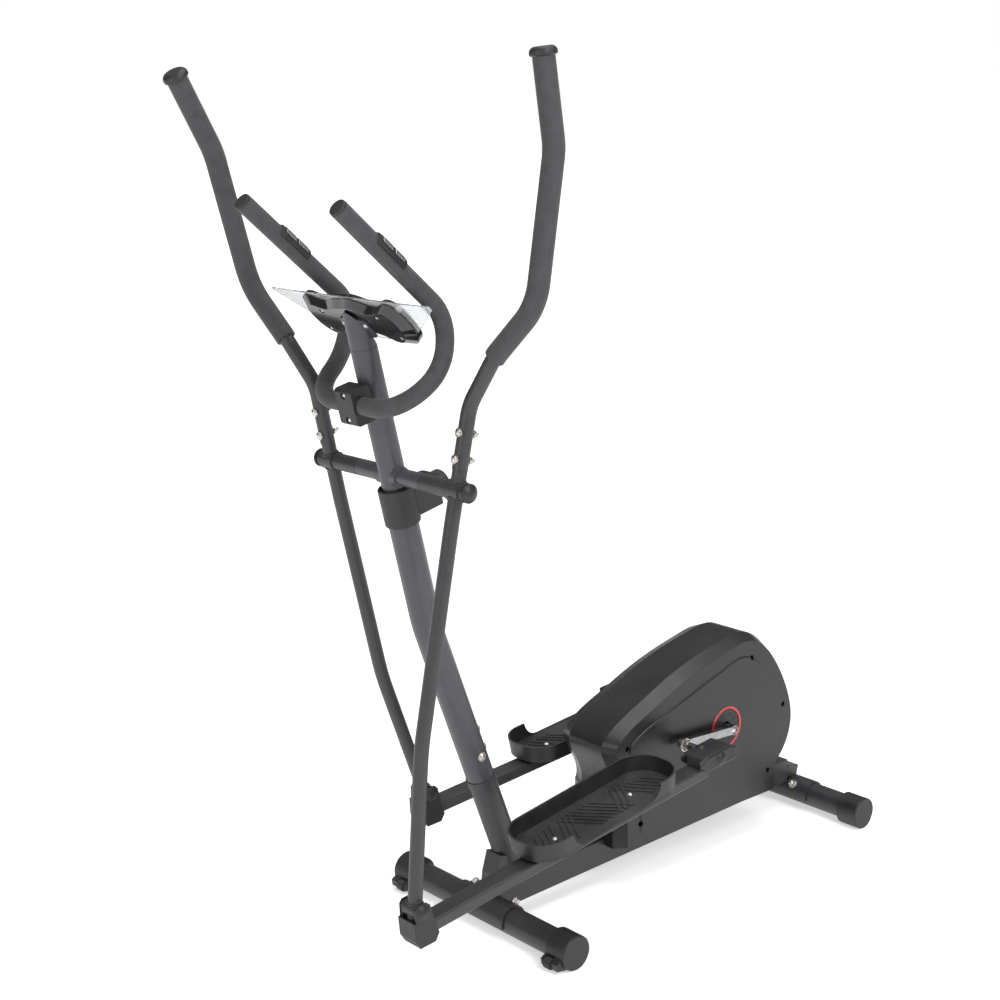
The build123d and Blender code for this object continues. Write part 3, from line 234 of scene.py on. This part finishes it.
# ---- finishes: one dictionary of values for each
finishes = {
    "frame_paint": dict(
        texture="peel", scale=900.0, depth=0.00005, light=(0.033, 0.033, 0.037), dark=(0.026, 0.026, 0.029),
        rough=(0.36, 0.44), worn=(0.10, 0.10, 0.11), wear=0.45, dust=0.05,
    ),
    "arm_paint": dict(
        texture="peel", scale=950.0, depth=0.00005, light=(0.038, 0.038, 0.041), dark=(0.030, 0.030, 0.033),
        rough=(0.38, 0.46), worn=(0.11, 0.11, 0.12), wear=0.45, dust=0.05,
    ),
    "post_paint": dict(
        texture="peel", scale=700.0, depth=0.00003, light=(0.060, 0.061, 0.070), dark=(0.050, 0.051, 0.058),
        rough=(0.30, 0.38), worn=(0.16, 0.16, 0.18), wear=0.4, dust=0.04,
    ),
    "foam": dict(
        texture="foam", scale=1500.0, depth=0.00012, light=(0.050, 0.051, 0.054), dark=(0.030, 0.031, 0.033),
        rough=(0.62, 0.80), worn=(0.075, 0.075, 0.078), wear=0.3, dust=0.06, sheen=0.12,
    ),
    "black_plastic": dict(
        texture="pebble", scale=1100.0, depth=0.00006, light=(0.020, 0.020, 0.022), dark=(0.011, 0.011, 0.012),
        rough=(0.42, 0.56), worn=(0.07, 0.07, 0.075), wear=0.35, dust=0.06,
    ),
    "housing_plastic": dict(
        texture="pebble", scale=1300.0, depth=0.00003, light=(0.011, 0.011, 0.013), dark=(0.008, 0.008, 0.009),
        rough=(0.30, 0.40), worn=(0.06, 0.062, 0.07), wear=0.5, dust=0.05,
    ),
    "pedal_plastic": dict(
        texture="pebble", scale=1000.0, depth=0.00007, light=(0.024, 0.024, 0.027), dark=(0.013, 0.013, 0.015),
        rough=(0.40, 0.54), worn=(0.10, 0.10, 0.105), wear=0.6, dust=0.16,
    ),
    "gloss_black": dict(
        texture="pebble", scale=900.0, depth=0.00001, light=(0.010, 0.010, 0.011), dark=(0.006, 0.006, 0.007),
        rough=(0.10, 0.22), worn=(0.05, 0.05, 0.055), wear=0.3, dust=0.05, coat=0.4,
    ),
    "screen_glass": dict(
        texture="pebble", scale=600.0, depth=0.00001, light=(0.155, 0.175, 0.150), dark=(0.125, 0.145, 0.125),
        rough=(0.12, 0.20), worn=(0.2, 0.2, 0.2), wear=0.1, dust=0.05, coat=0.8,
    ),
    "zinc": dict(
        texture="lines", scale=90.0, depth=0.00003, light=(0.72, 0.69, 0.62), dark=(0.42, 0.40, 0.37),
        rough=(0.24, 0.42), worn=(0.82, 0.80, 0.76), wear=0.5, dust=0.04, metallic=1.0,
    ),
    "steel": dict(
        texture="lines", scale=70.0, depth=0.00003, light=(0.40, 0.40, 0.42), dark=(0.26, 0.26, 0.28),
        rough=(0.26, 0.42), worn=(0.8, 0.8, 0.8), wear=0.5, dust=0.04, metallic=1.0,
    ),
    "sensor_chrome": dict(
        texture="lines", scale=120.0, depth=0.00001, light=(0.80, 0.80, 0.81), dark=(0.62, 0.62, 0.63),
        rough=(0.08, 0.20), worn=(0.9, 0.9, 0.9), wear=0.3, dust=0.04, metallic=1.0,
    ),
    "red_ring": dict(
        texture="pebble", scale=900.0, depth=0.00001, light=(0.62, 0.022, 0.020), dark=(0.42, 0.012, 0.012),
        rough=(0.18, 0.30), worn=(0.75, 0.16, 0.13), wear=0.4, dust=0.04, coat=0.3,
    ),
    "belt_rubber": dict(
        texture="lines", scale=160.0, depth=0.0001, light=(0.020, 0.020, 0.020), dark=(0.010, 0.010, 0.010),
        rough=(0.55, 0.75), worn=(0.05, 0.05, 0.05), wear=0.4, dust=0.12,
    ),
    "iron": dict(
        texture="peel", scale=420.0, depth=0.0002, light=(0.20, 0.195, 0.19), dark=(0.09, 0.088, 0.086),
        rough=(0.42, 0.62), worn=(0.42, 0.41, 0.40), wear=0.7, dust=0.08, metallic=1.0,
    ),
    "wheel_rubber": dict(
        texture="foam", scale=900.0, depth=0.00008, light=(0.026, 0.026, 0.026), dark=(0.015, 0.015, 0.015),
        rough=(0.50, 0.70), worn=(0.09, 0.09, 0.085), wear=0.6, dust=0.18,
    ),
}
dustColour = (0.30, 0.285, 0.26, 1.0)


def mixColour(tree, mask, first, second, x, y):
    node = addNode(tree, "ShaderNodeMix", x, y, data_type="RGBA")
    tree.links.new(mask, node.inputs["Factor"])
    for socket, value in ((node.inputs[6], first), (node.inputs[7], second)):
        if isinstance(value, tuple):
            socket.default_value = value
        else:
            tree.links.new(value, socket)
    return node.outputs[2]


def placeGroup(tree, group, x, y, vector, **values):
    node = addNode(tree, "ShaderNodeGroup", x, y, node_tree=group)
    tree.links.new(vector, node.inputs["Vector"])
    for socket, value in values.items():
        node.inputs[socket].default_value = value
    return node


def makeFinish(name, look):
    # Two tones, a surface texture, worn edges and settled dust, in one Principled shader.
    material = bpy.data.materials.new(name)
    material.use_nodes = True
    tree = material.node_tree
    shader = tree.nodes["Principled BSDF"]
    coords = addNode(tree, "ShaderNodeTexCoord", -1500, 0)
    place = coords.outputs["Object"]
    texture = placeGroup(tree, textures[look["texture"]], -1200, 200, place, Scale=look["scale"])
    wear = placeGroup(tree, edgeWear, -1200, -100, place, Radius=0.0011, Amount=look["wear"])
    dust = placeGroup(tree, settledDust, -1200, -400, place, Amount=look["dust"])
    tree.links.new(coords.outputs["Normal"], dust.inputs["Facing"])
    share = remap(tree, texture.outputs["Value"], 0.32, 0.70, -950, 300)
    colour = mixColour(tree, share, look["dark"] + (1.0,), look["light"] + (1.0,), -700, 300)
    colour = mixColour(tree, wear.outputs["Mask"], colour, look["worn"] + (1.0,), -500, 200)
    colour = mixColour(tree, dust.outputs["Mask"], colour, dustColour, -300, 200)
    tree.links.new(colour, shader.inputs["Base Color"])
    low, high = look["rough"]
    roughness = remap(tree, texture.outputs["Value"], 0.30, 0.72, -700, -50, low, high)
    roughness = combine(tree, "ADD", roughness, combine(tree, "MULTIPLY", dust.outputs["Mask"], 0.5, -500, -200))
    tree.links.new(roughness, shader.inputs["Roughness"])
    bump = addNode(tree, "ShaderNodeBump", -300, -300)
    bump.inputs["Distance"].default_value = look["depth"]
    bump.inputs["Strength"].default_value = 1.0
    tree.links.new(texture.outputs["Height"], bump.inputs["Height"])
    tree.links.new(wear.outputs["Normal"], bump.inputs["Normal"])
    tree.links.new(bump.outputs["Normal"], shader.inputs["Normal"])
    shader.inputs["Metallic"].default_value = look.get("metallic", 0.0)
    shader.inputs["Coat Weight"].default_value = look.get("coat", 0.0)
    shader.inputs["Sheen Weight"].default_value = look.get("sheen", 0.0)
    return material


materials = {name: makeFinish(name, look) for name, look in finishes.items()}
print("finishes made:", len(materials))


def makeClearAcrylic():
    # Clear acrylic with a faint grey cast, fine scratches and a smear or two.
    material = bpy.data.materials.new("clearAcrylic")
    material.use_nodes = True
    tree = material.node_tree
    shader = tree.nodes["Principled BSDF"]
    coords = addNode(tree, "ShaderNodeTexCoord", -1100)
    smears = noise(tree, coords.outputs["Object"], 22.0, 4.0, -850, 100)
    scratches = placeGroup(tree, textures["lines"], -850, -200, coords.outputs["Object"], Scale=240.0)
    tree.links.new(remap(tree, smears, 0.35, 0.75, -550, 100, 0.04, 0.16), shader.inputs["Roughness"])
    tint = mixColour(tree, smears, (0.90, 0.92, 0.94, 1.0), (0.97, 0.98, 0.99, 1.0), -550, 350)
    tree.links.new(tint, shader.inputs["Base Color"])
    bump = addNode(tree, "ShaderNodeBump", -300, -200)
    bump.inputs["Distance"].default_value = 0.00001
    tree.links.new(scratches.outputs["Height"], bump.inputs["Height"])
    tree.links.new(bump.outputs["Normal"], shader.inputs["Normal"])
    shader.inputs["Transmission Weight"].default_value = 0.85
    shader.inputs["IOR"].default_value = 1.49
    return material


clearAcrylic = makeClearAcrylic()

# ---- every CAD node gets the finish of its slot
postNodes = ("upper_post", "lower_post", "console_bracket")
for nodeName, nodeObject in nodes.items():
    finish = "post_paint" if nodeName in postNodes else slotOf[nodeName]
    nodeObject.data.materials.clear()
    nodeObject.data.materials.append(materials[finish])
print("CAD nodes dressed")


# ---- surfaces on a grid
def meshObject(name, points, faces, material, smooth=True):
    mesh = bpy.data.meshes.new(name)
    mesh.from_pydata(points.reshape(-1, 3).tolist(), [], faces)
    work = bmesh.new()
    work.from_mesh(mesh)
    bmesh.ops.remove_doubles(work, verts=work.verts, dist=1e-7)
    bmesh.ops.recalc_face_normals(work, faces=work.faces)
    work.to_mesh(mesh)
    work.free()
    mesh.polygons.foreach_set("use_smooth", np.full(len(mesh.polygons), smooth))
    mesh.materials.append(material)
    made = bpy.data.objects.new(name, mesh)
    bpy.context.scene.collection.objects.link(made)
    return made


def gridFaces(rows, columns, wrapRows, wrapColumns):
    # Quads between neighbours of a grid, round again where a direction is closed.
    r, c = np.meshgrid(
        np.arange(rows if wrapRows else rows - 1),
        np.arange(columns if wrapColumns else columns - 1),
        indexing="ij",
    )
    nextR, nextC = (r + 1) % rows, (c + 1) % columns
    corners = [r * columns + c, r * columns + nextC, nextR * columns + nextC, nextR * columns + c]
    return np.stack(corners, -1).reshape(-1, 4).tolist()


def basis(direction, sideways):
    # Three unit axes: along direction, then sideways, then square to both.
    along = np.array(direction, float)
    along /= np.linalg.norm(along)
    first = np.array(sideways, float)
    first -= along * (first @ along)
    first /= np.linalg.norm(first)
    return first, np.cross(along, first), along


# ---- weld beads where the arm tubes meet their pivot sleeves and foot bosses
weldBead = dict(width=0.0021, tubeRadius=0.0122, sleeveRadius=0.0167, bossRadius=0.0150, ripples=34, steps=136, section=12)


def weldRing(name, centre, direction, crossRadius, body):
    # A ring round a tube, lying on the crossing cylinder: its lift at a lateral offset x is
    # sqrt(R^2 - x^2), and the bead's radius swells and shrinks with each weld ripple.
    first, second, along = basis(direction, (0.0, 1.0, 0.0))
    turn = np.linspace(0, 2 * math.pi, weldBead["steps"], endpoint=False)[:, None]
    around = np.linspace(0, 2 * math.pi, weldBead["section"], endpoint=False)[None, :]
    bead = weldBead["width"] * (1 + 0.16 * np.cos(weldBead["ripples"] * turn) + 0.08 * np.sin(5 * turn))
    radius = weldBead["tubeRadius"] + bead * np.cos(around)
    lateral = weldBead["tubeRadius"] * np.sin(turn)
    lift = np.sqrt(crossRadius**2 - lateral**2) + bead * np.sin(around)
    points = (
        np.array(centre)
        + (radius * np.cos(turn))[..., None] * first
        + (radius * np.sin(turn))[..., None] * second
        + lift[..., None] * along
    )
    faces = gridFaces(weldBead["steps"], weldBead["section"], True, True)
    ring = meshObject(name, points, faces, materials["arm_paint"])
    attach(ring, body)
    return ring


def armAxes(side):
    # The arm's lean at rest is half its swing, left arm with its top rearward.
    low, high = joints["arm_swing_" + side]["range_deg"]
    leanAngle = math.radians((low + high) / 2)
    up = np.array([-math.sin(leanAngle), 0.0, math.cos(leanAngle)])
    return up, leanAngle


lowerTube = dict(bend=(-0.008, -0.420), foot=(-0.046, -0.684))   # arm frame, x and z


def armWelds(side):
    up, leanAngle = armAxes(side)
    body = "arm_" + side
    pivot = np.array(joints["arm_swing_" + side]["pos_m"])
    foot = np.array(joints["bar_pivot_" + side]["pos_m"])
    for place, direction in (("upper", up), ("lower", -up)):
        weldRing(f"weld_{place}_sleeve_{side}", pivot, direction, weldBead["sleeveRadius"], body)
    dx = lowerTube["bend"][0] - lowerTube["foot"][0]
    dz = lowerTube["bend"][1] - lowerTube["foot"][1]
    tubeLean = leanAngle - math.atan2(dx, dz)
    footUp = (-math.sin(tubeLean), 0.0, math.cos(tubeLean))
    weldRing(f"weld_foot_{side}", foot, footUp, weldBead["bossRadius"], body)


for side in sideSigns:
    armWelds(side)
print("weld beads made")

# ---- clear rack plate behind the console
rackPlate = dict(
    halfWidth=0.206, farEdge=0.034, nearEdge=-0.065, innerHalf=0.075, sink=-0.0079,
    thickness=0.0022, tipLift=0.004, rows=25, columns=97,
)


def consoleAxes():
    # Button travel gives the display's normal, and the slope follows from it.
    press = joints["press_middle"]
    normal = -np.array(press["axis"])
    slope = np.array([normal[2], 0.0, -normal[0]])
    low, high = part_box("console_screen")
    centre = (np.array(low) + np.array(high)) / 2
    return centre, slope, normal


def makeRackPlate():
    # Across the width the edges run straight, then sweep together to a blunt point at each tip.
    look = rackPlate
    centre, slope, normal = consoleAxes()
    across = np.linspace(-1, 1, look["columns"])[None, :]
    share = np.linspace(0, 1, look["rows"])[:, None]
    reach = np.clip((np.abs(across) * look["halfWidth"] - look["innerHalf"])
                    / (look["halfWidth"] - look["innerHalf"]), 0, 1)
    near = look["nearEdge"] + (look["farEdge"] - 0.012 - look["nearEdge"]) * reach**1.15
    far = look["farEdge"] - 0.004 * reach**2
    upSlope = near + (far - near) * share
    lift = look["sink"] + look["tipLift"] * reach**2
    points = (
        centre
        + upSlope[..., None] * slope
        + (across * look["halfWidth"] + 0 * share)[..., None] * np.array([0.0, 1.0, 0.0])
        + (lift + 0 * share)[..., None] * normal
    )
    faces = gridFaces(look["rows"], look["columns"], False, False)
    plate = meshObject("rack_plate", points, faces, clearAcrylic)
    wall = plate.modifiers.new("wall", "SOLIDIFY")
    wall.thickness = look["thickness"]
    wall.offset = 0.0
    edge = plate.modifiers.new("edge", "BEVEL")
    edge.width = 0.0005
    edge.segments = 2
    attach(plate, "frame")
    return plate


makeRackPlate()
print("rack plate made")

# ---- seven-segment digits on the display
displayDigits = dict(height=0.016, width=0.0085, stroke=0.0016, gap=0.0005, spacing=0.0125, lift=0.0011, text="0000")
segmentsOf = {"0": "abcdef", "8": "abcdefg"}


def segmentCentres(width, height):
    # Each segment as centre across, centre up, and whether it stands upright.
    side, half = width / 2, height / 2
    return {
        "a": (0, half, False), "g": (0, 0, False), "d": (0, -half, False),
        "b": (side, half / 2, True), "c": (side, -half / 2, True),
        "e": (-side, -half / 2, True), "f": (-side, half / 2, True),
    }


def makeDigits():
    # Every stroke is a hexagon with pointed ends, laid just above the glass.
    look = displayDigits
    centre, slope, normal = consoleAxes()
    leftward = np.array([0.0, 1.0, 0.0])
    places = segmentCentres(look["width"], look["height"])
    outlines = []
    count = len(look["text"])
    for index, digit in enumerate(look["text"]):
        middle = (index - (count - 1) / 2) * look["spacing"]
        for name in segmentsOf[digit]:
            x, z, upright = places[name]
            length = (look["height"] / 2 if upright else look["width"]) / 2 - look["gap"]
            half = look["stroke"] / 2
            u = np.array([-length, -length + half, length - half, length, length - half, -length + half])
            v = np.array([0, half, half, 0, -half, -half])
            if upright:
                u, v = v, u
            outlines.append((middle + x + u)[:, None] * -leftward + (z + v)[:, None] * slope)
    points = np.array(outlines) + centre + normal * look["lift"]
    faces = np.arange(points.shape[0] * 6).reshape(-1, 6).tolist()
    digits = meshObject("display_digits", points, faces, materials["gloss_black"], smooth=False)
    body = digits.modifiers.new("body", "SOLIDIFY")
    body.thickness = 0.0002
    body.offset = 0.0
    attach(digits, "frame")
    return digits


makeDigits()
print("display digits made")

# ---- floor, light and camera
studio = dict(
    floorHalf=40.0, floorColour=(0.94, 0.94, 0.94, 1.0), floorGlow=0.50, farGlow=1.0,
    fadeFrom=1.6, fadeTo=5.5, backdrop=1.0, dome=0.46, horizon=0.12,
)


def makeFloor():
    half = studio["floorHalf"]
    points = np.array([[-half, -half, -0.0005], [half, -half, -0.0005], [half, half, -0.0005], [-half, half, -0.0005]])
    material = bpy.data.materials.new("paleFloor")
    material.use_nodes = True
    tree = material.node_tree
    shader = tree.nodes["Principled BSDF"]
    shader.inputs["Base Color"].default_value = studio["floorColour"]
    shader.inputs["Roughness"].default_value = 0.75
    shader.inputs["Emission Color"].default_value = (1.0, 1.0, 1.0, 1.0)
    # The floor glows more with distance, so that it runs into the white backdrop.
    coords = addNode(tree, "ShaderNodeTexCoord", -900)
    away = addNode(tree, "ShaderNodeVectorMath", -700, 0, operation="LENGTH")
    tree.links.new(coords.outputs["Object"], away.inputs[0])
    glow = remap(tree, away.outputs["Value"], studio["fadeFrom"], studio["fadeTo"], -400, 0,
                 studio["floorGlow"], studio["farGlow"])
    tree.links.new(glow, shader.inputs["Emission Strength"])
    floor = meshObject("floor", points, [[0, 1, 2, 3]], material, smooth=False)


def makeWorld():
    world = bpy.data.worlds.new("studio")
    world.use_nodes = True
    tree = world.node_tree
    background = tree.nodes["Background"]
    background.inputs["Color"].default_value = (1.0, 1.0, 1.0, 1.0)
    # The backdrop is plain white, and the light it gives falls from overhead to the horizon.
    coords = addNode(tree, "ShaderNodeTexCoord", -900)
    split = addNode(tree, "ShaderNodeSeparateXYZ", -700)
    tree.links.new(coords.outputs["Generated"], split.inputs[0])
    dome = remap(tree, split.outputs["Z"], 0.0, 0.9, -500, 0, studio["horizon"], studio["dome"])
    path = addNode(tree, "ShaderNodeLightPath", -500, 300)
    seen = combine(tree, "MULTIPLY", path.outputs["Is Camera Ray"], studio["backdrop"], -250, 300)
    hidden = combine(tree, "SUBTRACT", 1.0, path.outputs["Is Camera Ray"], -250, 100)
    lit = combine(tree, "ADD", seen, combine(tree, "MULTIPLY", hidden, dome, -50, 0), 100, 100)
    tree.links.new(lit, background.inputs["Strength"])
    bpy.context.scene.world = world


def makeAreaLight(name, place, target, size, power):
    light = bpy.data.lights.new(name, "AREA")
    light.shape = "RECTANGLE"
    light.size, light.size_y = size
    light.energy = power
    made = bpy.data.objects.new(name, light)
    bpy.context.scene.collection.objects.link(made)
    made.location = place
    aim = Vector(target) - Vector(place)
    made.rotation_euler = aim.to_track_quat("-Z", "Y").to_euler()


makeFloor()
makeWorld()
middle = (cadLow + cadHigh) / 2
makeAreaLight("keyLight", (0.6, 2.9, 2.9), middle, (1.3, 2.2), 74)
makeAreaLight("topLight", (-0.2, 0.2, 4.2), middle, (2.6, 2.6), 62)
makeAreaLight("frontLight", (3.4, 0.2, 2.2), middle, (0.9, 2.4), 26)

cameraLook = dict(place=(2.10545, 2.16774, 1.45131), turn=(77.0757, 0.3535, 138.5149), lens=61.378)
camera = bpy.data.cameras.new("camera")
camera.lens = cameraLook["lens"]
camera.sensor_width = 36.0
cameraObject = bpy.data.objects.new("camera", camera)
bpy.context.scene.collection.objects.link(cameraObject)
cameraObject.location = cameraLook["place"]
cameraObject.rotation_euler = [math.radians(angle) for angle in cameraLook["turn"]]
bpy.context.scene.camera = cameraObject
bpy.context.scene.view_settings.view_transform = "Standard"
print("studio ready")
